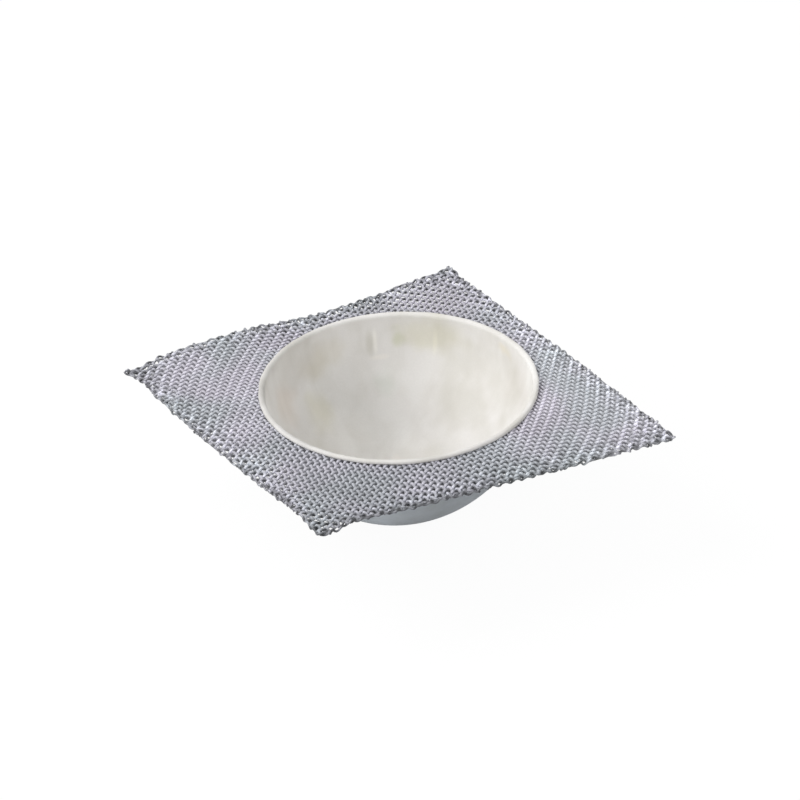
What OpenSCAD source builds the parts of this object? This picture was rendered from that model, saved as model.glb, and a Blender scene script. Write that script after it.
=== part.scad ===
// Wire gauze with a round ceramic dish, for heating round-bottomed flasks over a burner.
// Millimetres, +Z up. The origin is the middle of the flat spot under the dish.
// The cloth's corners are called A (-X +Y), B (+X +Y), C (+X -Y) and D (-X -Y).

/* [Wire cloth] */
// Length of each side of the cloth
side = 150; // [135:1:170]
// Angle by which the square is pulled out of true
skew = 9; // [0:0.5:12]
// Shift of the cloth along X from the middle of the dish
cloth_shift_x = -5.3; // [-6:0.1:6]
// Shift of the cloth along Y from the middle of the dish
cloth_shift_y = -3.3; // [-6:0.1:6]
// Woven cells along each side of the cloth; the ridges between them are its wires
cells = 50; // [25:1:50]
// Thickness of one wire
wire_d = 0.8; // [0.5:0.05:1.1]
// Thickness left at the bottom of a closed cell
web_t = 0.2; // [0.1:0.05:0.6]
// Height by which a wire rises and dips as it crosses the next ones
crimp = 0.15; // [0:0.05:0.2]
// Cells across one square opening in the weave
gap_cells = 3; // [1:1:3]
// Cells between two openings
band_cells = 2; // [2:1:6]

/* [Warp of the cloth] */
// Height of corner A above the rim
lift_a = -1.5; // [-6:0.5:6]
// Height of corner B above the rim
lift_b = 2.5; // [-6:0.5:6]
// Height of corner C above the rim
lift_c = -4.5; // [-6:0.5:6]
// Height of corner D above the rim
lift_d = 3.5; // [-6:0.5:6]
// Height of the middle of the +Y side
lift_ab = 4.5; // [-5:0.5:5]
// Height of the middle of the +X side
lift_bc = 0.5; // [-5:0.5:5]
// Height of the middle of the -Y side
lift_cd = -2.5; // [-5:0.5:5]
// Height of the middle of the -X side
lift_da = -3; // [-5:0.5:5]
// Upward curl of the very tip of corner A
curl_a = -2; // [-3:0.5:3]
// Upward curl of the very tip of corner B
curl_b = 2; // [-3:0.5:3]
// Upward curl of the very tip of corner C
curl_c = -0.5; // [-3:0.5:3]
// Upward curl of the very tip of corner D
curl_d = -1.5; // [-3:0.5:3]
// Reach of a corner's curl
curl_reach = 18; // [10:1:25]
// Inward bow of the middle of the +Y side
bow_ab = 4; // [-1:0.5:5]
// Inward bow of the middle of the +X side
bow_bc = -0.5; // [-1:0.5:5]
// Inward bow of the middle of the -Y side
bow_cd = 2; // [-1:0.5:5]
// Inward bow of the middle of the -X side
bow_da = 0.5; // [-1:0.5:5]

/* [Ceramic dish] */
// Radius of the round hollow, whose middle is level with the top of the rim
hollow_r = 53; // [47:0.5:58]
// Thickness of the dish's wall at the rim
wall = 1.5; // [1.5:0.25:4]
// Overhang of the rim beyond the wall
rim_overhang = 1; // [0.9:0.1:3]
// Thickness of the rim's lip above the cloth
lip_t = 1.3; // [1:0.1:2.5]
// Thickness of the collar below the cloth
collar_t = 1.5; // [1:0.1:3]
// Depth to which the cloth sits in the rim
grip = 1.4; // [1:0.1:1.5]
// Clearance round the cloth in the rim's groove
seat_gap = 0.15; // [0.05:0.05:0.3]
// Rounding of the lip's outer edge
outer_round = 0.8; // [0.3:0.1:1]
// Rounding of the lip's inner edge, at the mouth of the hollow
inner_round = 1.5; // [0.5:0.1:1.5]
// Width of the flat spot that the dish stands on
foot_d = 16; // [12:1:20]

/* [Hidden] */
$fn = 128;
smooth_run = 26; // the cloth's warps die out over this distance from the rim
over = 1;        // how far a cutting shape reaches past what it cuts

// Dish
dish_r = hollow_r + wall;
rim_r = dish_r + rim_overhang;
cloth_z = sqrt(pow(dish_r, 2) - pow(foot_d / 2, 2)); // the cloth lies level with the body's middle
cloth_half = wire_d + crimp;                         // half the cloth's woven thickness
groove_half = cloth_half + seat_gap;
groove_r = rim_r - grip;
rim_z = cloth_z + groove_half + lip_t;
collar_z = cloth_z - groove_half - collar_t;

// Cloth
hole_r = groove_r + seat_gap;
half = side / 2;
lines = cells + 1;
cell_w = side / cells;
least_run = cell_w / 20; // a crossing nearer to the hole than this is moved onto its edge

function smooth(t) = let (c = min(max(t, 0), 1)) c * c * (3 - 2 * c);
function arch(t) = 4 * t * (1 - t);
function mix(a, b, t) = a + (b - a) * t;
function tip(s, t) = pow(max(0, 1 - side * norm([s, t]) / curl_reach), 2);

// Place of a point of the cloth, from its shares s and t of the way along +X and +Y
function bowed(s, t) = [
    mix(-half + bow_da * arch(t), half - bow_bc * arch(t), s),
    mix(-half + bow_cd * arch(s), half - bow_ab * arch(s), t)
];
function skewed(p) = let (k = skew / 2) [
    p.x * cos(k) - p.y * sin(k) + cloth_shift_x,
    p.y * cos(k) - p.x * sin(k) + cloth_shift_y
];
// A crossing that doesn't lie clear of the dish's hole moves out to the edge of the hole
function clear_of_hole(p) = norm(p) > hole_r + least_run;
function pushed_out(p) = clear_of_hole(p) ? p : p * hole_r / norm(p);

// Height of the cloth's middle above the rim's level: corners, middles of the sides, and curled tips
function warp(s, t) =
    mix(mix(lift_d, lift_c, s), mix(lift_a, lift_b, s), t)
    + arch(s) * t * (lift_ab - (lift_a + lift_b) / 2)
    + arch(s) * (1 - t) * (lift_cd - (lift_c + lift_d) / 2)
    + arch(t) * s * (lift_bc - (lift_b + lift_c) / 2)
    + arch(t) * (1 - s) * (lift_da - (lift_d + lift_a) / 2)
    + curl_a * tip(s, 1 - t) + curl_b * tip(1 - s, 1 - t)
    + curl_c * tip(1 - s, t) + curl_d * tip(s, t);

// The wires' crossings: plane[i][j] is where two wires cross, and mid[i][j] the cloth's height there
plane = [for (i = [0:cells]) [for (j = [0:cells]) skewed(bowed(i / cells, j / cells))]];
mid = [for (i = [0:cells]) [for (j = [0:cells])
    cloth_z
    + warp(i / cells, j / cells) * smooth((norm(plane[i][j]) - rim_r) / smooth_run)
    + crimp * ((i + j) % 2 == 0 ? 1 : -1)]];

// Square openings stand in plain rows, one in each block of cells, and end short of the rim and of the edge
block = gap_cells + band_cells;
function in_gap(i) =
    let (start = i - i % block + floor(band_cells / 2))
    i >= start && i < start + gap_cells && start + gap_cells < cells;
function clear_of_rim(i, j) = norm(plane[i][j]) > rim_r + cell_w / 3;
function open_cell(i, j) =
    in_gap(i) && in_gap(j) && clear_of_rim(i, j) && clear_of_rim(i + 1, j)
    && clear_of_rim(i, j + 1) && clear_of_rim(i + 1, j + 1);

// A cell is part of the cloth if it isn't open and any of its crossings lies clear of the hole
function woven(i, j) =
    i >= 0 && j >= 0 && i < cells && j < cells && !open_cell(i, j)
    && (clear_of_hole(plane[i][j]) || clear_of_hole(plane[i + 1][j])
    || clear_of_hole(plane[i][j + 1]) || clear_of_hole(plane[i + 1][j + 1]));

module wire_gauze() {
    kept = [for (i = [0:cells - 1]) for (j = [0:cells - 1]) if (woven(i, j)) [i, j]];

    // Corners of a cell in order round it, and the points of the two parts of the list below
    ring = [[0, 0], [1, 0], [1, 1], [0, 1]];
    crossings = [for (side_up = [1, -1]) for (i = [0:cells]) for (j = [0:cells])
        let (p = pushed_out(plane[i][j])) [p.x, p.y, mid[i][j] + side_up * wire_d]];
    per_face = lines * lines;
    function at(c, side_up) = c.x * lines + c.y + (side_up > 0 ? 0 : per_face);
    pit_floors = [for (c = kept) for (side_up = [1, -1])
        let (q = (crossings[at(c + ring[0], side_up)] + crossings[at(c + ring[1], side_up)]
        + crossings[at(c + ring[2], side_up)] + crossings[at(c + ring[3], side_up)]) / 4)
        q - [0, 0, side_up * (wire_d - web_t / 2)]];

    // Puts a face the right way out for the upper or the lower side
    function out(f, side_up) = side_up > 0 ? [f[2], f[1], f[0]] : f;
    pits = [for (m = [0:1:len(kept) - 1]) for (u = [0, 1]) for (k = [0:3])
        let (up = 1 - 2 * u, c = kept[m])
        out([at(c + ring[k], up), at(c + ring[(k + 1) % 4], up), 2 * per_face + 2 * m + u], up)];
    // The walls of the openings, the hole and the cloth's edge: wherever a kept cell has no kept neighbour
    beside = [[0, -1], [1, 0], [0, 1], [-1, 0]];
    walls = [for (c = kept) for (k = [0:3])
        let (o = c + beside[k], low = at(c + ring[k], -1), next_low = at(c + ring[(k + 1) % 4], -1))
        if (!woven(o.x, o.y))
        for (f = [[low - per_face, low, next_low], [low - per_face, next_low, next_low - per_face]])
        out(f, 1)];

    color([0.66, 0.67, 0.7])
    polyhedron(concat(crossings, pit_floors), concat(pits, walls));
}

// A round dish: an outer and an inner sphere, a flat spot, and a thin grooved rim that grips the cloth
module ceramic_dish() {
    color([0.88, 0.87, 0.83])
    rotate_extrude()
    difference() {
        union() {
            intersection() {
                translate([0, cloth_z]) circle(r = dish_r);
                square([dish_r, cloth_z]);
            }
            rim_section();
        }
        translate([0, rim_z]) circle(r = hollow_r);
        translate([groove_r, cloth_z - groove_half]) square([grip + over, 2 * groove_half]);
        corner_cut(rim_r, rim_z, outer_round, 1);
        corner_cut(hollow_r, rim_z, inner_round, -1);
    }
}

// Section of the rim: a lip above the groove, and a collar that slopes back to the dish below it
module rim_section() {
    slope = rim_overhang + wall / 2;
    polygon([
        [dish_r - wall / 2, collar_z - slope], [rim_r, collar_z], [rim_r, rim_z],
        [hollow_r / 2, rim_z], [hollow_r / 2, collar_z - slope]
    ]);
}

// What a rounding takes off a corner of the section, on its outer side (1) or inner side (-1)
module corner_cut(x, z, r, way) {
    translate([x - way * r, z - r])
    difference() {
        translate([way > 0 ? 0 : -r - over, 0]) square(r + over);
        circle(r = r);
    }
}

wire_gauze();
ceramic_dish();
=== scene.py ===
# A square of woven wire gauze with a round-bottomed ceramic dish in its middle.
# Lengths are in metres, in the frame's own axes: +Z up, and the dish standing on the floor at the origin.
# The cloth's corners are called A (-X +Y), B (+X +Y), C (+X -Y) and D (-X -Y).
import math
import random

import bmesh
import bpy
from mathutils import Matrix, Vector, noise


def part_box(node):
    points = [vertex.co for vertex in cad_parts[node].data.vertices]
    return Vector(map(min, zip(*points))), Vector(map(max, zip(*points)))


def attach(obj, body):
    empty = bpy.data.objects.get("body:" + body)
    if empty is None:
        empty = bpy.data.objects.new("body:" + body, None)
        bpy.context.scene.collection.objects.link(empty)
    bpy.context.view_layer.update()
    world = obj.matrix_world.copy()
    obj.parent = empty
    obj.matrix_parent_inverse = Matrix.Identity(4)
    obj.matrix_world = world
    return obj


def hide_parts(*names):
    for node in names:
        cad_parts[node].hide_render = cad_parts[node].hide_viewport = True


mm = 0.001
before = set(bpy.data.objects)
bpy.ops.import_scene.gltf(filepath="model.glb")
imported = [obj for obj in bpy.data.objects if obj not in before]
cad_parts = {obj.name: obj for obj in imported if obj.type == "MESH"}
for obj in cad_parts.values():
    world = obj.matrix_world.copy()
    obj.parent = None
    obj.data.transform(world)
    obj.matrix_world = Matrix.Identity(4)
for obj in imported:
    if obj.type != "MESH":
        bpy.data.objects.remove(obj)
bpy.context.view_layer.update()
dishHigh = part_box("ceramic_dish")[1]
print("Frame loaded:", ", ".join(sorted(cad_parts)))


# Helpers

def mix(a, b, share):
    return a + (b - a) * share


def smoothStep(t):
    t = min(max(t, 0.0), 1.0)
    return t * t * (3 - 2 * t)


def arch(t):
    return 4 * t * (1 - t)


def addObject(name, data):
    obj = bpy.data.objects.new(name, data)
    bpy.context.scene.collection.objects.link(obj)
    return obj


def meshFrom(bm, name):
    mesh = bpy.data.meshes.new(name)
    bm.to_mesh(mesh)
    bm.free()
    return addObject(name, mesh)


def finishPiece(obj, nodeName, material):
    obj.data.materials.clear()
    obj.data.materials.append(material)
    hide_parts(nodeName)
    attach(obj, "root")


# Shader helpers

def newMaterial(name):
    material = bpy.data.materials.new(name)
    material.use_nodes = True
    tree = material.node_tree
    return material, tree, tree.nodes["Principled BSDF"]


def addNode(tree, kind, **settings):
    node = tree.nodes.new(kind)
    for key, value in settings.items():
        if key in node.inputs:
            node.inputs[key].default_value = value
        else:
            setattr(node, key, value)
    return node


def feed(tree, node, values):
    # links each input to a socket, or sets it to a plain value
    for key, value in values.items():
        if isinstance(value, bpy.types.NodeSocket):
            tree.links.new(value, node.inputs[key])
        else:
            node.inputs[key].default_value = value


def addNoise(tree, place, **settings):
    node = addNode(tree, "ShaderNodeTexNoise", **settings)
    tree.links.new(place, node.inputs["Vector"])
    return node.outputs


def addRamp(tree, source, places, colours):
    ramp = tree.nodes.new("ShaderNodeValToRGB")
    elements = ramp.color_ramp.elements
    while len(elements) < len(places):
        elements.new(0.5)
    for element, place, colour in zip(elements, places, colours):
        element.position = place
        element.color = (*colour, 1)
    tree.links.new(source, ramp.inputs["Fac"])
    return ramp.outputs["Color"]


def scaled(tree, source, low, high):
    node = addNode(tree, "ShaderNodeMapRange")
    feed(tree, node, {"To Min": low, "To Max": high, "Value": source})
    return node.outputs["Result"]


def blended(tree, kind, share, first, second):
    node = addNode(tree, "ShaderNodeMix", data_type="RGBA", blend_type=kind)
    feed(tree, node, {0: share, 6: first, 7: second})
    return node.outputs[2]


def grey(tree, value):
    node = addNode(tree, "ShaderNodeCombineColor")
    feed(tree, node, {0: value, 1: value, 2: value})
    return node.outputs[0]


def attribute(tree, name):
    return addNode(tree, "ShaderNodeAttribute", attribute_name=name).outputs["Fac"]


def newGroup(name, inputs, outputs):
    group = bpy.data.node_groups.new(name, "ShaderNodeTree")
    for label, kind in inputs:
        group.interface.new_socket(label, in_out="INPUT", socket_type="NodeSocket" + kind)
    for label, kind in outputs:
        group.interface.new_socket(label, in_out="OUTPUT", socket_type="NodeSocket" + kind)
    return group, group.nodes.new("NodeGroupInput").outputs, group.nodes.new("NodeGroupOutput").inputs


def placeGroup(tree, group, values):
    node = addNode(tree, "ShaderNodeGroup", node_tree=group)
    feed(tree, node, values)
    return node.outputs


def mottleGroup():
    # makes a colour uneven by soft clouds, in a tone from Low to High
    group, given, result = newGroup("mottle", [
        ("Color", "Color"), ("Vector", "Vector"), ("Share", "Float"), ("Scale", "Float"),
        ("Detail", "Float"), ("Coarseness", "Float"), ("Low", "Float"), ("High", "Float")],
        [("Color", "Color")])
    clouds = addNode(group, "ShaderNodeTexNoise")
    feed(group, clouds, {"Vector": given["Vector"], "Scale": given["Scale"], "Detail": given["Detail"],
                         "Roughness": given["Coarseness"]})
    tone = scaled(group, clouds.outputs["Fac"], given["Low"], given["High"])
    uneven = blended(group, "MULTIPLY", given["Share"], given["Color"], grey(group, tone))
    group.links.new(uneven, result["Color"])
    return group


def grainGroup():
    # the fine grain of a surface, in its roughness and as bumps
    group, given, result = newGroup("fineGrain", [
        ("Vector", "Vector"), ("Scale", "Float"), ("Detail", "Float"), ("Coarseness", "Float"),
        ("Smoothest", "Float"), ("Roughest", "Float"), ("Strength", "Float"), ("Height", "Float")],
        [("Grain", "Float"), ("Roughness", "Float"), ("Normal", "Vector")])
    grains = addNode(group, "ShaderNodeTexNoise")
    feed(group, grains, {"Vector": given["Vector"], "Scale": given["Scale"], "Detail": given["Detail"],
                         "Roughness": given["Coarseness"]})
    bumps = addNode(group, "ShaderNodeBump")
    feed(group, bumps, {"Strength": given["Strength"], "Distance": given["Height"],
                        "Height": grains.outputs["Fac"]})
    rough = scaled(group, grains.outputs["Fac"], given["Smoothest"], given["Roughest"])
    group.links.new(grains.outputs["Fac"], result["Grain"])
    group.links.new(rough, result["Roughness"])
    group.links.new(bumps.outputs["Normal"], result["Normal"])
    return group


mottle = mottleGroup()
fineGrain = grainGroup()


def mottled(tree, place, share, colour, clouds, depth):
    scale, detail, coarseness = clouds
    return placeGroup(tree, mottle, {
        "Color": colour, "Vector": place, "Share": share, "Scale": scale, "Detail": detail,
        "Coarseness": coarseness, "Low": 1 - 2 * depth, "High": 1 + 2 * depth})["Color"]


def grained(tree, place, look):
    scale, detail, coarseness = look["grain"]
    return placeGroup(tree, fineGrain, {
        "Vector": place, "Scale": scale, "Detail": detail, "Coarseness": coarseness,
        "Smoothest": look["roughness"] - look["roughSpread"],
        "Roughest": look["roughness"] + look["roughSpread"],
        "Strength": look["grainStrength"], "Height": look["grainHeight"]})


# The cloth: its outline, its warps, and where its wires run

rimRadius = dishHigh.x
rimTop = dishHigh.z

cloth = {
    "side": 150 * mm,                   # of the square before it was pulled out of true
    "skew": math.radians(9),
    "shift": (-5.3 * mm, -3.3 * mm),    # of the square's middle from the dish's axis
    "belowRimTop": 2.4 * mm,
    "intoRim": 1.25 * mm,               # depth of the wires' inner ends in the rim
    "seed": 7,
    "wireRadius": 0.58 * mm,
    "warpCrimp": 1.0, "weftCrimp": 1.0,   # heights of the wires' waves, in wire radii
    "pointsPerPitch": 4,
    "tubeRings": 2,                     # 8 sides to a wire
    # heights of the corners and of the middles of the sides above the rim's level
    "liftA": -1.5 * mm, "liftB": 2.5 * mm, "liftC": -4.5 * mm, "liftD": 3.5 * mm,
    "liftAB": 4.5 * mm, "liftBC": 0.5 * mm, "liftCD": -2.5 * mm, "liftDA": -3 * mm,
    "smoothRun": 26 * mm,               # warps die out over this distance from the rim
    # the corners curl, their tips are bent, and the very ends are nipped the other way
    "curlA": -2 * mm, "curlB": 2 * mm, "curlC": -0.5 * mm, "curlD": -1.5 * mm,
    "curlReach": 18 * mm,
    "bendA": -1.2 * mm, "bendB": 0.0, "bendC": 0.2 * mm, "bendD": -1.8 * mm,
    "bendReach": 16 * mm,
    "nipA": 0.9 * mm, "nipB": 0.3 * mm, "nipC": 0.0, "nipD": 0.6 * mm,
    "nipReach": 5 * mm,
    "tipCut": 1.2 * mm,                 # cut off each tip, as the sum of the distances from its two sides
    # how far the sides bow inwards in their middles
    "bowAB": 4 * mm, "bowBC": -0.5 * mm, "bowCD": 0.9 * mm, "bowDA": 0.5 * mm,
    "pinch": 0.9 * mm,                  # the sides lie this much further in, up to near the corners
    "pinchPower": 8,
    "pinchA": 1.2 * mm, "pinchB": 0.7 * mm,   # more of it in the first stretch from a corner
    "pinchRise": 7 * mm, "pinchHold": 9 * mm, "pinchFall": 20 * mm,
    # the weave before the dish's hole was pressed into it
    "warpPitch": 2.26 * mm, "weftPitch": 2.344 * mm,
    "warpSlant": -0.013, "weftSlant": -0.053,
    "pitchJitter": 0.04,                # unevenness of the wires' places, as a share of the pitch
    # the pressing draws the wires in towards its middle
    "drawX": 14.4 * mm, "drawY": 15.8 * mm,
    "drawMiddle": (3.4 * mm, 0.7 * mm),
    "drawRamp": 35 * mm,
    "drawReachX": 48.4 * mm, "drawReachY": 44.6 * mm, "drawPower": 2.32,
    "drawSpan": 22 * mm,                # how far past the square the outermost wires start
    # sideways unevenness of the weave over a few wires, more of it at the corners, and over many wires
    "wander": 0.09 * mm, "wanderScale": 260,
    "tipWander": 0.2 * mm, "tipReach": 30 * mm,
    "sway": 0.22 * mm, "swayScale": 55,
    # the edge: cut ends, thinner last wires along each side, and wires pulled about
    "endInset": 0.35 * mm,              # from the cloth's edge to the cut ends
    "endJitter": 0.4 * mm,
    "edgeWires": (0.55 * mm, 1.35 * mm),   # how far inside the edge the last wires of a side lie
    "edgeGap": 0.8,                     # from them to the woven wires, in wire radii
    "edgeThin": 0.75,                   # their share of the others' thickness
    "edgeWave": 0.7,
    "fray": 0.7 * mm,                   # how far each wire is pulled about near the edge
    "frayReach": 13 * mm,
    "frayScale": 420,                   # of the noise along a wire
    "frayStride": 3.7,                  # and its step from wire to wire
    "edgeFray": 50,                     # number of the first edge wire in that noise
}
cloth["level"] = rimTop - cloth["belowRimTop"]
cloth["holeRadius"] = rimRadius - cloth["intoRim"]
halfSide = cloth["side"] / 2


def sideInset(bow, share, pinchStart=0.0, pinchEnd=0.0):
    # how far inside a straight line a side of the cloth lies, at a share of the way along it
    c = cloth
    share = min(max(share, 0.0), 1.0)
    inset = bow * arch(share) + c["pinch"] * (1 - (2 * share - 1) ** c["pinchPower"])
    for pinch, away in ((pinchStart, share * c["side"]), (pinchEnd, (1 - share) * c["side"])):
        past = 1 - smoothStep((away - c["pinchHold"]) / c["pinchFall"])
        inset += pinch * smoothStep(away / c["pinchRise"]) * past
    return inset


def outline(x, y):
    # where the four sides lie beside a point of the square
    c = cloth
    alongX, alongY = (x + halfSide) / c["side"], (y + halfSide) / c["side"]
    return (-halfSide + sideInset(c["bowDA"], alongY, 0.0, c["pinchA"]),
            halfSide - sideInset(c["bowBC"], alongY, 0.0, c["pinchB"]),
            -halfSide + sideInset(c["bowCD"], alongX),
            halfSide - sideInset(c["bowAB"], alongX, c["pinchA"], 0.0))


def clothShares(x, y):
    # shares of the way across the bowed outline, from 0 at one side to 1 at the other
    lowX, highX, lowY, highY = outline(x, y)
    return (x - lowX) / (highX - lowX), (y - lowY) / (highY - lowY)


def bowedPlace(s, t, rounds=4):
    # the inverse of clothShares
    x, y = mix(-halfSide, halfSide, s), mix(-halfSide, halfSide, t)
    for k in range(rounds):
        lowX, highX, lowY, highY = outline(x, y)
        x, y = mix(lowX, highX, s), mix(lowY, highY, t)
    return x, y


def onPlane(x, y):
    k = cloth["skew"] / 2
    return (x * math.cos(k) - y * math.sin(k) + cloth["shift"][0],
            y * math.cos(k) - x * math.sin(k) + cloth["shift"][1])


def offPlane(px, py):
    # the inverse of onPlane
    k = cloth["skew"] / 2
    px, py = px - cloth["shift"][0], py - cloth["shift"][1]
    scale = math.cos(k) ** 2 - math.sin(k) ** 2
    return ((px * math.cos(k) + py * math.sin(k)) / scale,
            (py * math.cos(k) + px * math.sin(k)) / scale)


def cornerTip(s, t, corner):
    away = cloth["side"] * math.hypot(s, t)
    tip = max(0.0, 1 - away / cloth["curlReach"]) ** 2 * cloth["curl" + corner]
    tip += smoothStep(1 - away / cloth["bendReach"]) * cloth["bend" + corner]
    return tip + smoothStep(1 - away / cloth["nipReach"]) * cloth["nip" + corner]


def clothHeight(s, t, radius):
    c = cloth
    warp = mix(mix(c["liftD"], c["liftC"], s), mix(c["liftA"], c["liftB"], s), t)
    warp += arch(s) * t * (c["liftAB"] - (c["liftA"] + c["liftB"]) / 2)
    warp += arch(s) * (1 - t) * (c["liftCD"] - (c["liftC"] + c["liftD"]) / 2)
    warp += arch(t) * s * (c["liftBC"] - (c["liftB"] + c["liftC"]) / 2)
    warp += arch(t) * (1 - s) * (c["liftDA"] - (c["liftD"] + c["liftA"]) / 2)
    warp += cornerTip(s, 1 - t, "A") + cornerTip(1 - s, 1 - t, "B")
    warp += cornerTip(1 - s, t, "C") + cornerTip(s, t, "D")
    return c["level"] + warp * smoothStep((radius - rimRadius) / c["smoothRun"])


def drawIn(x, y):
    # how far the pressing has drawn the wires in at a point of the cloth
    c = cloth
    offX, offY = x - c["drawMiddle"][0], y - c["drawMiddle"][1]
    pullX = math.tanh(offX / c["drawRamp"]) * math.exp(-abs(offY / c["drawReachX"]) ** c["drawPower"])
    pullY = math.tanh(offY / c["drawRamp"]) * math.exp(-abs(offX / c["drawReachY"]) ** c["drawPower"])
    return c["drawX"] * pullX, c["drawY"] * pullY


def drawnPlace(u, v, start, rounds=12):
    # where warp wire u crosses weft wire v once the pressing has drawn them in
    x, y = start
    for k in range(rounds):
        drawX, drawY = drawIn(x, y)
        x, y = u - cloth["warpSlant"] * y - drawX, v - cloth["weftSlant"] * x - drawY
    return x, y


def unevenness(px, py, nearTip):
    # the added vectors only keep the four noises apart
    fine = Vector((px, py, 0.3)) * cloth["wanderScale"]
    broad = Vector((px, py, 2.7)) * cloth["swayScale"]
    reach, sway = cloth["wander"] + cloth["tipWander"] * nearTip, cloth["sway"]
    moveX = noise.noise(fine) * reach + noise.noise(broad) * sway
    moveY = noise.noise(fine + Vector((7, 3, 5))) * reach + noise.noise(broad + Vector((4, 9, 2))) * sway
    return moveX, moveY


def clothPoint(x, y):
    # the point of the middle layer there, its distances from the four sides, and its radius
    s, t = clothShares(x, y)
    px, py = onPlane(x, y)
    radius = math.hypot(px, py)
    toSides = (s * cloth["side"], (1 - s) * cloth["side"], t * cloth["side"], (1 - t) * cloth["side"])
    nearTip = smoothStep(1 - (min(toSides[:2]) + min(toSides[2:])) / cloth["tipReach"])
    moveX, moveY = unevenness(px, py, nearTip)
    return Vector((px + moveX, py + moveY, clothHeight(s, t, radius))), toSides, radius


def frayed(point, wire, along, toSides):
    # near the edge each wire is pulled about by itself
    near = smoothStep(1 - min(toSides) / cloth["frayReach"])
    if near > 0:
        pull = noise.noise_vector(Vector((wire * cloth["frayStride"], along * cloth["frayScale"], 0.5)))
        point = point + pull * cloth["fray"] * near
    return point


def addRun(runs, run, thickness=1.0):
    # snippets shorter than one pitch fall out of the cloth
    if len(run) > cloth["pointsPerPitch"]:
        runs.append((run, thickness))


def wireRuns(alongX, randomness):
    # each wire is followed across the cloth, and kept wherever it lies inside the outline
    # and outside the dish's hole
    own, other = ("weftPitch", "warpPitch") if alongX else ("warpPitch", "weftPitch")
    ownPitch, otherPitch = cloth[own], cloth[other]
    wave = cloth["wireRadius"] * cloth["weftCrimp" if alongX else "warpCrimp"]
    jitter = cloth["pitchJitter"]
    reach = halfSide + cloth["drawSpan"]
    wireCount = int(reach / ownPitch)
    step = otherPitch / cloth["pointsPerPitch"]
    stepCount = int(reach / step)
    lastWire = cloth["edgeWires"][-1] + cloth["edgeGap"] * cloth["wireRadius"]
    runs = []
    for wire in range(-wireCount, wireCount + 1):
        place = wire * ownPitch + randomness.uniform(-jitter, jitter) * ownPitch
        side = 1 if (wire % 2 == 0) != alongX else -1
        run = []
        lastPoint, lastInside = None, -1.0
        cut = cloth["endInset"] + randomness.uniform(0, cloth["endJitter"])
        spot = (-reach, place) if alongX else (place, -reach)
        for k in range(-stepCount, stepCount + 1):
            along = k * step
            spot = drawnPlace(along, place, spot) if alongX else drawnPlace(place, along, spot)
            point, toSides, radius = clothPoint(*spot)
            point.z += side * wave * math.cos(math.pi * along / otherPitch)
            point = frayed(point, wire + (0.5 if alongX else 0), along, toSides)
            beside, ahead = (toSides[2:], toSides[:2]) if alongX else (toSides[:2], toSides[2:])
            inside = min(min(beside) - lastWire, min(ahead) - cut, radius - cloth["holeRadius"],
                         min(beside) + min(ahead) - cloth["tipCut"])
            if (inside > 0) != (lastInside > 0) and lastPoint is not None:
                run.append(lastPoint.lerp(point, lastInside / (lastInside - inside)))
                if inside <= 0:
                    addRun(runs, run)
                    run = []
                    cut = cloth["endInset"] + randomness.uniform(0, cloth["endJitter"])
            if inside > 0:
                run.append(point)
            lastPoint, lastInside = point, inside
    return runs


def edgeRuns(alongX):
    # the last wires of the two sides that run this way follow the cloth's bowed edge
    pitch = cloth["warpPitch"] if alongX else cloth["weftPitch"]
    stepCount = int(cloth["side"] / pitch * cloth["pointsPerPitch"])
    runs = []
    for atEnd in (0, 1):
        for order, inset in enumerate(cloth["edgeWires"]):
            share = inset / cloth["side"]
            number = cloth["edgeFray"] + 2 * atEnd + order
            run = []
            for k in range(stepCount + 1):
                along = k / stepCount * (1 - 2 * share) + share
                across = 1 - share if atEnd else share
                s, t = (along, across) if alongX else (across, along)
                x, y = bowedPlace(s, t)
                point, toSides = clothPoint(x, y)[:2]
                turn = math.pi * (k / cloth["pointsPerPitch"] + order)
                point.z += cloth["wireRadius"] * cloth["edgeWave"] * math.cos(turn)
                if min(toSides[:2]) + min(toSides[2:]) > cloth["tipCut"]:
                    run.append(frayed(point, number, along * cloth["side"], toSides))
            addRun(runs, run, cloth["edgeThin"])
    return runs


# Where the cloth is painted lighter and darker, kept as attributes of the wires: painted shade and
# highlights of the weave, painted sheen, and the darker edge

clothShade = {
    # painted shade and highlight of the weave: depth of the shade beside every second hole, one way
    # across and the other way, and of the shade beside every single hole on the bright sides of the cloth
    "rows": 0.36,
    "chains": 0.30,
    "strips": 0.32,
    "rowFade": 0.3,                     # shares of the first two lost towards the bright sides
    "chainFade": 0.6,
    "innerDepth": 0.72,                 # of all that shade near the dish
    "outerDepth": 1.3,                  # and at the cloth's edge
    "outerReach": 16 * mm,
    "calmPlace": (-49 * mm, -41 * mm),  # the weave looks calmer on this side of the dish
    "calmReach": 26 * mm,
    "calmDepth": 0.35,
    "brightTurn": math.radians(-28),    # direction of the brightest side, towards corner C
    "brightLean": 0.42,                 # how much more corner C's side is lit than corner A's
    "tipReach": 28 * mm,
    "tipFade": 0.3,                     # share of the brightness that corner C's tip loses; A's loses all
    # the edge is dark, more of it at corners D and A, and along the edge from D towards C
    "edgeReach": 3 * mm,
    "tipShade": 0.6, "tipShadeAtD": 0.8, "tipShadeAtA": 1.6,
    "lowEdge": 0.8, "lowEdgeReach": 7 * mm,
    "lowEdgeEnd": 0.35,                 # where that ends, as a share of the side
}


def towardsCorners(px, py):
    # 1 on the way to corner C and -1 on the way to A, where the cloth catches the light, and 0 between
    turn = clothShade["brightTurn"]
    return (px * math.cos(turn) + py * math.sin(turn)) / math.hypot(px, py)


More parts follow.
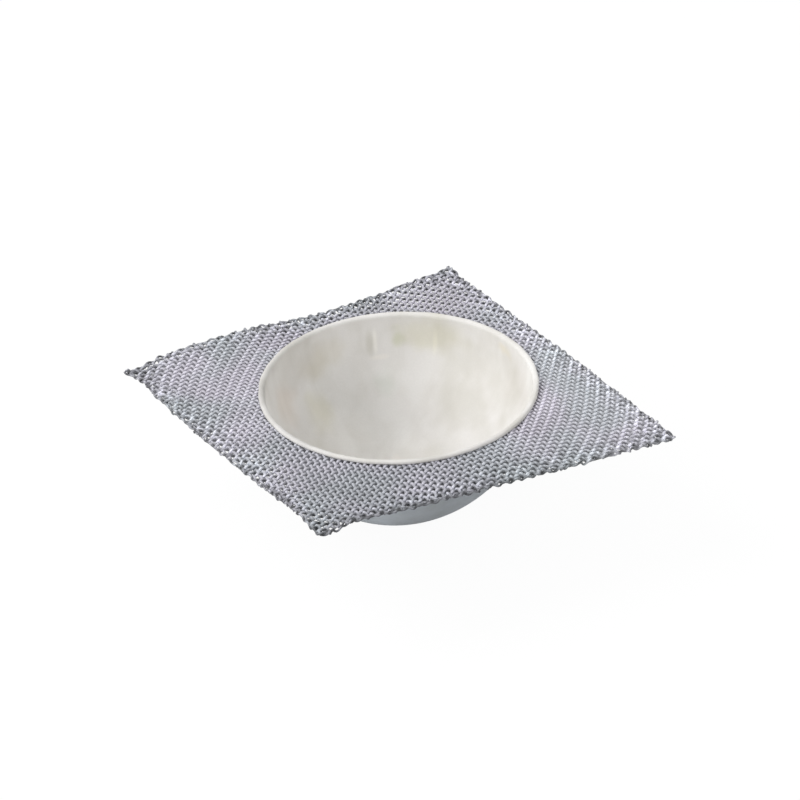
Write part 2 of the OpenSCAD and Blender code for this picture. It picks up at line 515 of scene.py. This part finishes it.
def holeShade(x, y, fade, sheen):
    # painted shade: 1 in the middle of every second hole of the weave, and less away from it
    drawX, drawY = drawIn(x, y)
    u = (x + cloth["warpSlant"] * y + drawX) / cloth["warpPitch"]
    v = (y + cloth["weftSlant"] * x + drawY) / cloth["weftPitch"]
    rows = clothShade["rows"] * (1 - clothShade["rowFade"] * fade)
    chains = clothShade["chains"] * (1 - clothShade["chainFade"] * fade)
    strips = clothShade["strips"] * sheen
    return (0.5 + rows * math.cos(math.pi * (u - v)) - strips * math.cos(2 * math.pi * (u - v))
            - chains * math.cos(math.pi * (u + v)))


def shadesAt(px, py, pz):
    # rise in the weave, darkness of the edge, shade beside holes, sheen, and nearness to the edge
    c = clothShade
    x, y = offPlane(px, py)
    s, t = clothShares(x, y)
    level = clothHeight(s, t, math.hypot(px, py))   # the woven cloth is four wire radii thick
    rise = (pz - level) / (4 * cloth["wireRadius"]) + 0.5
    nearTip = smoothStep(1 - (min(s, 1 - s) + min(t, 1 - t)) * cloth["side"] / c["tipReach"])
    across = towardsCorners(px, py)
    fade = across ** 2 * (1 - mix(1.0, c["tipFade"], s) * nearTip)
    sheen = fade * (1 + c["brightLean"] * across) / (1 + c["brightLean"])
    toEdge = min(s, 1 - s, t, 1 - t) * cloth["side"]
    outer = smoothStep(1 - toEdge / c["outerReach"])
    away = math.hypot(px - c["calmPlace"][0], py - c["calmPlace"][1])
    depth = mix(c["innerDepth"], c["outerDepth"], outer)
    depth *= mix(1.0, c["calmDepth"], smoothStep(1 - away / c["calmReach"]))
    hole = 0.5 + (holeShade(x, y, fade, sheen) - 0.5) * depth
    lowEdge = smoothStep(1 - t * cloth["side"] / c["lowEdgeReach"]) * smoothStep(1 - s / c["lowEdgeEnd"])
    edge = max(smoothStep(1 - toEdge / c["edgeReach"]), c["lowEdge"] * lowEdge,
               c["tipShade"] * nearTip * (1 - s) * mix(c["tipShadeAtD"], c["tipShadeAtA"], t))
    return {"rise": rise, "edge": edge, "hole": hole, "sheen": sheen, "wild": outer}


def layWires(name, runs, material):
    curve = bpy.data.curves.new(name, "CURVE")
    curve.dimensions = "3D"
    curve.bevel_depth = cloth["wireRadius"]
    curve.bevel_resolution = cloth["tubeRings"]
    curve.use_fill_caps = True
    for run, thickness in runs:
        spline = curve.splines.new("POLY")
        spline.points.add(len(run) - 1)
        for place, point in zip(spline.points, run):
            place.co = (*point, 1)
            place.radius = thickness
    guide = addObject(name + "_guide", curve)
    graph = bpy.context.evaluated_depsgraph_get()
    mesh = bpy.data.meshes.new_from_object(guide.evaluated_get(graph))
    bpy.data.objects.remove(guide)
    mesh.name = name
    for shade in ("rise", "edge", "hole", "sheen", "wild"):
        mesh.attributes.new(shade, "FLOAT", "POINT")
    for vertex in mesh.vertices:
        for shade, value in shadesAt(*vertex.co).items():
            mesh.attributes[shade].data[vertex.index].value = value
    wires = addObject(name, mesh)
    finishPiece(wires, "wire_gauze", material)
    mesh.calc_loop_triangles()
    print("Wires laid:", name, len(mesh.loop_triangles), "triangles")


# Materials

wireLook = {
    # tones of a wire from the bottom of the weave to its top: painted shade, darker at the bottom where
    # the wires shade each other; on the bright sides reversed, as painted sheen
    "risePlaces": (0.2, 0.5, 0.85),
    "riseTones": ((0.22, 0.22, 0.243), (0.45, 0.443, 0.477), (0.54, 0.53, 0.575)),
    "brightTones": ((0.74, 0.73, 0.76), (0.56, 0.548, 0.58), (0.49, 0.48, 0.515)),   # on the bright sides
    # broad patches, from lilac to a duller greenish grey
    "tintScale": 32.0,
    "tintPlaces": (0.4, 0.62),
    "tints": ((1.03, 1.012, 1.045), (0.88, 0.925, 0.915)),
    "edgeTint": (0.945, 0.975, 0.965),  # towards the edge the lilac fades
    # painted shade beside every second hole of the weave, and painted highlight beside the others
    "holeShadeTone": 0.25,                   # tone of the wires beside every second hole
    "holeLightTone": 1.25,                   # and beside the others
    "sheen": 0.42,                      # how much brighter the cloth is towards corners A and C
    "edgeShade": 0.45,
    # unevenness all over, and from one crossing to the next towards the edge;
    # each noise is given by its scale, detail and coarseness
    "patches": 0.14, "patchNoise": (60, 4, 0.7),
    "speckle": 0.5, "speckleNoise": (360, 1, 0.5),
    "grain": (900, 3, 0.5),
    "grainStrength": 0.4,
    "grainHeight": 0.03 * mm,
    "roughness": 0.6,
    "roughSpread": 0.12,
    "metallic": 0.3,
}


def wireMaterial():
    look = wireLook
    material, tree, shader = newMaterial("zincWire")
    place = addNode(tree, "ShaderNodeTexCoord").outputs["Object"]
    rise, edge, sheen = attribute(tree, "rise"), attribute(tree, "edge"), attribute(tree, "sheen")
    wild, hole = attribute(tree, "wild"), attribute(tree, "hole")
    # painted shade at the bottom of the weave, and painted sheen where the cloth is bright
    plain = addRamp(tree, rise, look["risePlaces"], look["riseTones"])
    bright = addRamp(tree, rise, look["risePlaces"], look["brightTones"])
    shade = blended(tree, "MIX", sheen, plain, bright)
    shade = mottled(tree, place, 1.0, shade, look["patchNoise"], look["patches"])
    shade = mottled(tree, place, wild, shade, look["speckleNoise"], look["speckle"])
    shade = blended(tree, "MULTIPLY", wild, shade, (*look["edgeTint"], 1))
    # painted shade and highlight beside the holes of the weave
    beside = grey(tree, scaled(tree, hole, look["holeLightTone"], look["holeShadeTone"]))
    shade = blended(tree, "MULTIPLY", 1.0, shade, beside)
    shade = blended(tree, "MULTIPLY", 1.0, shade, grey(tree, scaled(tree, sheen, 1.0, 1 + look["sheen"])))
    clouds = addNoise(tree, place, Scale=look["tintScale"], Detail=2.0)
    shade = blended(tree, "MULTIPLY", 1.0, shade,
                    addRamp(tree, clouds["Fac"], look["tintPlaces"], look["tints"]))
    edgeTone = grey(tree, scaled(tree, edge, 1.0, 1 - look["edgeShade"]))
    grain = grained(tree, place, look)
    feed(tree, shader, {"Base Color": blended(tree, "MULTIPLY", 1.0, shade, edgeTone),
                        "Metallic": look["metallic"],
                        "Roughness": grain["Roughness"], "Normal": grain["Normal"]})
    return material


ceramicLook = {
    # broad clouds from stained to pale, and streaks that run down the wall
    "cloudScale": 34.0,
    "cloudPlaces": (0.35, 0.5, 0.68),
    "cloudTones": ((0.61, 0.595, 0.56), (0.685, 0.67, 0.65), (0.73, 0.72, 0.70)),
    "streakScale": (90, 90, 18), "streakBend": 0.6,
    "streakPlaces": (0.3, 0.6),
    "streakTones": ((0.93, 0.925, 0.91), (1.0, 1.0, 1.0)),
    "underShadeTint": (0.74, 0.80, 0.87),    # painted shade: the outer side, in shadow below the cloth, is a darker blue-grey
    "underCloud": 0.16, "underNoise": (55, 5, 0.65),
    # soft stains, painted light and shade, and painted creases: middle and half widths in millimetres,
    # turn about the dish's axis in degrees, and tint
    "stainsAndPaintedLight": [
        # stains
        ((-32, 37, 37), (12, 12, 12), 131, (0.95, 0.905, 0.865)),
        ((-10, 50, 43), (9, 17, 10), 101, (0.92, 0.90, 0.84)),
        ((-15, 41, 26), (11, 11, 12), 110, (0.96, 0.95, 0.87)),
        # painted light, brighter low on the back wall and at the bottom
        ((-15, 30, 15), (30, 26, 16), 114, (1.10, 1.10, 1.09)),
        ((10, 12, 4), (22, 22, 14), 53, (1.06, 1.06, 1.055)),
        # stains, and a greyer patch on the right wall
        ((16, 42, 28), (8, 8, 9), 70, (0.93, 0.955, 0.93)),
        ((36, 38, 47), (12, 22, 12), 46, (0.90, 0.89, 0.80)),
        ((25.5, 45, 45), (6, 5, 8), 60, (0.88, 0.90, 0.80)),
        ((50, -10, 43), (16, 24, 14), -11, (0.92, 0.91, 0.895)),
        ((52, 4.5, 49), (5, 5, 5), 5, (1.0, 0.96, 0.86)),
        # painted shade on the back-left wall
        ((-20, 47, 47), (14, 27, 16), 113, (0.955, 0.95, 0.94)),
        # painted light at the bottom
        ((17, 17, 9), (18, 18, 12), 45, (1.03, 1.03, 1.03)),
        # painted shade over the top of the rim, darkest on its left
        ((-22, 50, 59), (14, 30, 9), 114, (0.90, 0.90, 0.89)),
        ((-49, 26, 59), (16, 34, 9), 152, (0.77, 0.77, 0.775)),
        ((-52, -15, 59), (16, 34, 9), 196, (0.79, 0.79, 0.79)),
        ((-29, -47, 59), (16, 30, 8), 238, (0.90, 0.90, 0.895)),
        ((6, -55, 59), (16, 36, 8), 276, (0.955, 0.955, 0.955)),
    ],
    # painted shade and highlights of small creases and ridges in the wall, which the form does not have:
    # dark on one side, bright along the ridge
    "creaseShading": [
        ((14.0, 49.7, 44.4), (5, 2.6, 8), 74.3, (0.86, 0.855, 0.82)),
        ((16.2, 49.0, 44.8), (5, 1.5, 8), 71.7, (1.11, 1.11, 1.09)),
        ((17.0, 46.8, 38.1), (4, 6, 1.6), 70, (1.07, 1.06, 1.04)),
        ((3.5, 19, 8.7), (5, 2.2, 9), 66, (0.955, 0.945, 0.94)),
        ((6.5, 17, 7.7), (5, 2.6, 9), 60, (1.045, 1.03, 1.02)),
        ((37.3, 35.5, 43.8), (5, 1.6, 8), 43.6, (1.07, 1.07, 1.05)),
    ],
    "spotWander": 7 * mm,              # how far the outlines of the stains and painted patches wander
    "spotWanderScale": 70.0,
    "spotCore": 0.8,                   # of the way to a spot's middle, where it is at its strongest
    "grain": (1400, 4, 0.7),
    "grainStrength": 0.35,
    "grainHeight": 0.05 * mm,
    "grainTones": (0.93, 1.07),
    "dentStrength": 0.5,
    "dentDepth": 0.6 * mm,
    "roughness": 0.75,
    "roughSpread": 0.12,
}


def stainedAndShaded(tree, place, clay, tintSpot):
    # tints the clay within an ellipsoid, most of all in its middle, for stains and for painted light and
    # shade
    middle, widths, degrees, tint = tintSpot
    local = addNode(tree, "ShaderNodeMapping", vector_type="TEXTURE")
    feed(tree, local, {"Vector": place, "Location": [v * mm for v in middle],
                       "Rotation": (0, 0, math.radians(degrees)), "Scale": [v * mm for v in widths]})
    ball = addNode(tree, "ShaderNodeTexGradient", gradient_type="SPHERICAL")
    feed(tree, ball, {"Vector": local.outputs["Vector"]})
    soft = addNode(tree, "ShaderNodeMapRange", interpolation_type="SMOOTHSTEP")
    feed(tree, soft, {"Value": ball.outputs["Fac"], "From Max": ceramicLook["spotCore"]})
    return blended(tree, "MULTIPLY", soft.outputs["Result"], clay, (*tint, 1))


def wandering(tree, place):
    wander = ceramicLook["spotWander"]
    clouds = addNoise(tree, place, Scale=ceramicLook["spotWanderScale"], Detail=2.0)
    moved = addNode(tree, "ShaderNodeMapRange", data_type="FLOAT_VECTOR")
    feed(tree, moved, {"Vector": clouds["Color"], 9: [-wander] * 3, 10: [wander] * 3})
    added = addNode(tree, "ShaderNodeVectorMath", operation="ADD")
    feed(tree, added, {0: place, 1: moved.outputs["Vector"]})
    return added.outputs["Vector"]


def ceramicMaterial():
    look = ceramicLook
    material, tree, shader = newMaterial("ceramic")
    place = addNode(tree, "ShaderNodeTexCoord").outputs["Object"]
    outer = attribute(tree, "outer_side")
    cloud = addNoise(tree, place, Scale=look["cloudScale"], Detail=3.0, Roughness=0.5)
    squeezed = addNode(tree, "ShaderNodeMapping")
    feed(tree, squeezed, {"Vector": place, "Scale": look["streakScale"]})
    streak = addNoise(tree, squeezed.outputs["Vector"], Scale=1.0, Detail=3.0,
                      Distortion=look["streakBend"])
    clay = addRamp(tree, cloud["Fac"], look["cloudPlaces"], look["cloudTones"])
    streaks = addRamp(tree, streak["Fac"], look["streakPlaces"], look["streakTones"])
    clay = blended(tree, "MULTIPLY", 1.0, clay, streaks)
    swayed = wandering(tree, place)
    # stains, painted light and shade, and painted creases
    for tintSpot in look["stainsAndPaintedLight"]:
        clay = stainedAndShaded(tree, swayed, clay, tintSpot)
    for creaseSpot in look["creaseShading"]:
        clay = stainedAndShaded(tree, place, clay, creaseSpot)
    clay = mottled(tree, place, outer, clay, look["underNoise"], look["underCloud"])
    # painted shade on the dish's outer side
    clay = blended(tree, "MULTIPLY", outer, clay, (*look["underShadeTint"], 1))
    grain = grained(tree, place, look)
    specks = grey(tree, scaled(tree, grain["Grain"], *look["grainTones"]))
    dents = addNode(tree, "ShaderNodeBump", Strength=look["dentStrength"], Distance=look["dentDepth"])
    feed(tree, dents, {"Height": cloud["Fac"], "Normal": grain["Normal"]})
    feed(tree, shader, {"Base Color": blended(tree, "MULTIPLY", 1.0, clay, specks),
                        "Roughness": grain["Roughness"], "Normal": dents.outputs["Normal"]})
    return material


# The dish

dish = {
    "hollowRadius": 53 * mm,            # of half a sphere whose middle is level with the rim's top
    "hollowStart": 1.2,                 # depth below that at which the sphere begins, in inner roundings
    "bodyRadius": 54.5 * mm,            # of the outer sphere, whose middle is level with the cloth
    "footRadius": 8 * mm,
    "shoulder": 85,                     # degrees up the outer sphere, where it turns out to the collar
    "shoulderSteps": 4,
    "shoulderHollow": 1.7,              # power that hollows the curve between them
    "shoulderEnd": (0.4 * mm, 0.25 * mm),   # its end, in from the rim's edge and down from the collar
    "lip": 1.3 * mm,
    "collar": 1.5 * mm,
    "collarRound": 0.5 * mm,
    "grip": 1.4 * mm,
    "outerRound": 0.9 * mm,
    "innerRound": 1.5 * mm,
    "arcPoints": 56,
    "turnSteps": 256,
    "lipWander": 0.22 * mm,             # unevenness of the lip's edge
    "lipScale": 170,
    "lipStart": 1 * mm,                 # below the cloth's level, where it sets in
    "lipBlend": 1.5 * mm,
    "bodyWander": 0.35 * mm,            # unevenness of the hand-pressed body, between two heights
    "bodyScale": 28,
    "bodyStart": 8 * mm, "bodyEnd": 44 * mm, "bodyFade": 6 * mm,
    "poleRadius": 10 * mm,              # inside it the body's wander shrinks with the radius
    "drift": (-1.4 * mm, 0.75 * mm),    # of the body's lowest part from the rim's axis
}


def roundedCorner(x, z, radius, startDegrees, endDegrees, steps=6):
    angles = [math.radians(mix(startDegrees, endDegrees, k / steps)) for k in range(steps + 1)]
    return [(x + radius * math.cos(a), z + radius * math.sin(a)) for a in angles]


def dishOutside(collarZ):
    # from the foot's middle, up the outer sphere and out round the collar
    level, outer = cloth["level"], dish["bodyRadius"]
    outside = [(0, 0), (dish["footRadius"] * 0.5, 0)]
    startAngle, endAngle = math.asin(dish["footRadius"] / outer), math.radians(dish["shoulder"])
    for k in range(dish["arcPoints"] + 1):
        a = mix(startAngle, endAngle, k / dish["arcPoints"])
        outside.append((outer * math.sin(a), level - outer * math.cos(a)))
    fromX, fromZ = outside[-1]
    toX, toZ = rimRadius - dish["shoulderEnd"][0], collarZ - dish["shoulderEnd"][1]
    for k in range(1, dish["shoulderSteps"] + 1):
        share = k / dish["shoulderSteps"]
        outside.append((mix(fromX, toX, share ** dish["shoulderHollow"]), mix(fromZ, toZ, share)))
    turn = dish["collarRound"]
    return outside + roundedCorner(rimRadius - turn, collarZ + turn / 2, turn, -40, 0, 3)


def dishSection():
    # the whole section, out and up round the rim, and down the hollow to its bottom;
    # each point holds its radius, its height, and whether it is on the dish's outer side
    level, hollow = cloth["level"], dish["hollowRadius"]
    outerRound, innerRound = dish["outerRound"], dish["innerRound"]
    grooveHalf = cloth["belowRimTop"] - dish["lip"]
    outside = dishOutside(level - grooveHalf - dish["collar"])
    lip = [(rimRadius, level - grooveHalf), (rimRadius - dish["grip"], level - grooveHalf),
           (rimRadius - dish["grip"], level + grooveHalf), (rimRadius, level + grooveHalf)]
    lip += roundedCorner(rimRadius - outerRound, rimTop - outerRound, outerRound, 0, 90)
    lip += roundedCorner(hollow + innerRound, rimTop - innerRound, innerRound, 90, 176)
    inside = []
    for k in range(dish["arcPoints"] + 1):
        a = mix(math.acos(dish["hollowStart"] * innerRound / hollow), 0, k / dish["arcPoints"])
        inside.append((hollow * math.sin(a), rimTop - hollow * math.cos(a)))
    return [(x, z, 1) for x, z in outside] + [(x, z, 0) for x, z in lip + inside]


def unevenDish(x, y, z):
    # moves a point of the true form as hand-pressed clay is uneven
    radius = math.hypot(x, y)
    nearLip = smoothStep((z - cloth["level"] + dish["lipStart"]) / dish["lipBlend"])
    nearLip *= smoothStep((radius - dish["hollowRadius"]) / dish["lipBlend"])
    broad = noise.noise(Vector((x, y, z)) * dish["bodyScale"])
    fine = noise.noise(Vector((x, y, 0)) * dish["lipScale"])
    body = (1 - nearLip) * smoothStep(z / dish["bodyStart"])
    body *= 1 - smoothStep((z - dish["bodyEnd"]) / dish["bodyFade"])
    wander = dish["bodyWander"] * broad * body + dish["lipWander"] * fine * nearLip
    grow = 1 + wander / max(radius, dish["poleRadius"])
    down = smoothStep(1 - z / cloth["level"])
    return x * grow + dish["drift"][0] * down, y * grow + dish["drift"][1] * down, z


def makeDish(material):
    bm = bmesh.new()
    outerSide = bm.verts.layers.float.new("outer_side")
    ring = []
    for x, z, outer in dishSection():
        vertex = bm.verts.new((x, 0, z))
        vertex[outerSide] = outer
        ring.append(vertex)
    for a, b in zip(ring, ring[1:]):
        bm.edges.new((a, b))
    bmesh.ops.spin(bm, geom=bm.verts[:] + bm.edges[:], cent=(0, 0, 0), axis=(0, 0, 1),
                   angle=math.tau, steps=dish["turnSteps"], use_merge=True)
    bmesh.ops.remove_doubles(bm, verts=bm.verts[:], dist=0.01 * mm)
    bmesh.ops.recalc_face_normals(bm, faces=bm.faces[:])
    for vertex in bm.verts:
        vertex.co = unevenDish(*vertex.co)
    for face in bm.faces:
        face.smooth = True
    finishPiece(meshFrom(bm, "ceramicDish"), "ceramic_dish", material)


# Floor, light and camera

stage = {
    "floorHalf": 3.0,
    "floorDrop": 0.1 * mm,              # so that the floor and the dish's flat spot don't coincide
    "floorShown": 0.95,                 # share of the floor's shown white that its shadows don't reach
    "floorBounce": (0.36, 0.37, 0.38),
    "worldLight": 0.62,
    # power in watts, width and place of each lamp
    "lamps": {
        "key": (17.0, 1.0, (-0.85, 0.65, 1.25)),
        "side": (5.0, 0.5, (-1.1, -0.45, 0.5)),
        "fill": (5.0, 1.2, (1.25, -0.85, 0.75)),
    },
}
white = (1, 1, 1, 1)


def shownShare(tree):
    # 1 for rays that show the background itself: straight to the camera, or by way of metal or glass
    path = addNode(tree, "ShaderNodeLightPath")
    shown = path.outputs["Is Camera Ray"]
    for name in ("Is Glossy Ray", "Is Transmission Ray"):
        either = addNode(tree, "ShaderNodeMath", operation="MAXIMUM")
        feed(tree, either, {0: shown, 1: path.outputs[name]})
        shown = either.outputs[0]
    return shown


def mixShaders(tree, share, first, second, surface):
    either = addNode(tree, "ShaderNodeMixShader")
    feed(tree, either, {0: share, 1: first.outputs[0], 2: second.outputs[0]})
    tree.links.new(either.outputs[0], surface)


def makeFloor():
    bm = bmesh.new()
    bmesh.ops.create_grid(bm, x_segments=1, y_segments=1, size=stage["floorHalf"])
    bmesh.ops.translate(bm, verts=bm.verts[:], vec=(0, 0, -stage["floorDrop"]))
    floor = meshFrom(bm, "floor")
    material, tree, shader = newMaterial("paleFloor")
    shown = shownShare(tree)
    feed(tree, shader, {"Roughness": 1, "Specular IOR Level": 0,
                        "Base Color": blended(tree, "MIX", shown, (*stage["floorBounce"], 1), white)})
    glow = addNode(tree, "ShaderNodeEmission", Strength=1.0)
    share = addNode(tree, "ShaderNodeMath", operation="MULTIPLY")
    feed(tree, share, {0: shown, 1: stage["floorShown"]})
    mixShaders(tree, share.outputs[0], shader, glow, tree.nodes["Material Output"].inputs["Surface"])
    floor.data.materials.append(material)


def makeWorld():
    world = bpy.data.worlds.new("studio")
    bpy.context.scene.world = world
    world.use_nodes = True
    tree = world.node_tree
    light = tree.nodes["Background"]
    feed(tree, light, {"Strength": stage["worldLight"], "Color": white})
    backdrop = addNode(tree, "ShaderNodeBackground", Strength=1.0, Color=white)
    mixShaders(tree, shownShare(tree), light, backdrop, tree.nodes["World Output"].inputs["Surface"])


def addLamp(name, power, width, place):
    data = bpy.data.lights.new(name, "AREA")
    data.shape = "DISK"
    data.size = width
    data.energy = power
    lamp = addObject(name, data)
    lamp.location = place
    aim = Vector((0, 0, cloth["level"])) - Vector(place)
    lamp.rotation_euler = aim.to_track_quat("-Z", "Y").to_euler()


cameraView = {
    "distance": 0.9,
    "azimuth": math.radians(28.3),      # turn from looking along +Y towards +X
    "elevation": math.radians(32.49),
    "roll": math.radians(-2.59),
    "focalPixels": 2274.2,
    "frame": 800,
    "middle": (398.6, 387.5),           # pixel that the camera's axis passes through
    "sensor": 36,
    "nearest": 0.01,
}


def makeCamera():
    view = cameraView
    data = bpy.data.cameras.new("camera")
    data.sensor_width = view["sensor"]
    data.lens = view["sensor"] * view["focalPixels"] / view["frame"]
    half = view["frame"] / 2
    data.shift_x = (half - view["middle"][0]) / view["frame"]
    data.shift_y = (view["middle"][1] - half) / view["frame"]
    data.clip_start = view["nearest"]
    camera = addObject("camera", data)
    a, e = view["azimuth"], view["elevation"]
    right = Vector((math.cos(a), -math.sin(a), 0))
    forward = Vector((math.sin(a) * math.cos(e), math.cos(a) * math.cos(e), -math.sin(e)))
    up = right.cross(forward)
    turn = Matrix((right, up, -forward)).transposed().to_4x4() @ Matrix.Rotation(view["roll"], 4, "Z")
    target = Vector((0, 0, cloth["level"]))
    camera.matrix_world = Matrix.Translation(target - forward * view["distance"]) @ turn
    bpy.context.scene.camera = camera


makeCamera()
makeWorld()
makeFloor()
for lampName, (lampPower, lampWidth, lampPlace) in stage["lamps"].items():
    addLamp(lampName, lampPower, lampWidth, lampPlace)
print("Stage made")

randomness = random.Random(cloth["seed"])
noise.seed_set(cloth["seed"])
zinc = wireMaterial()
warpRuns = wireRuns(False, randomness) + edgeRuns(False)
weftRuns = wireRuns(True, randomness) + edgeRuns(True)
layWires("warp_wires", warpRuns, zinc)
layWires("weft_wires", weftRuns, zinc)
makeDish(ceramicMaterial())
print("Dish turned")

bpy.context.scene.view_settings.view_transform = "Standard"
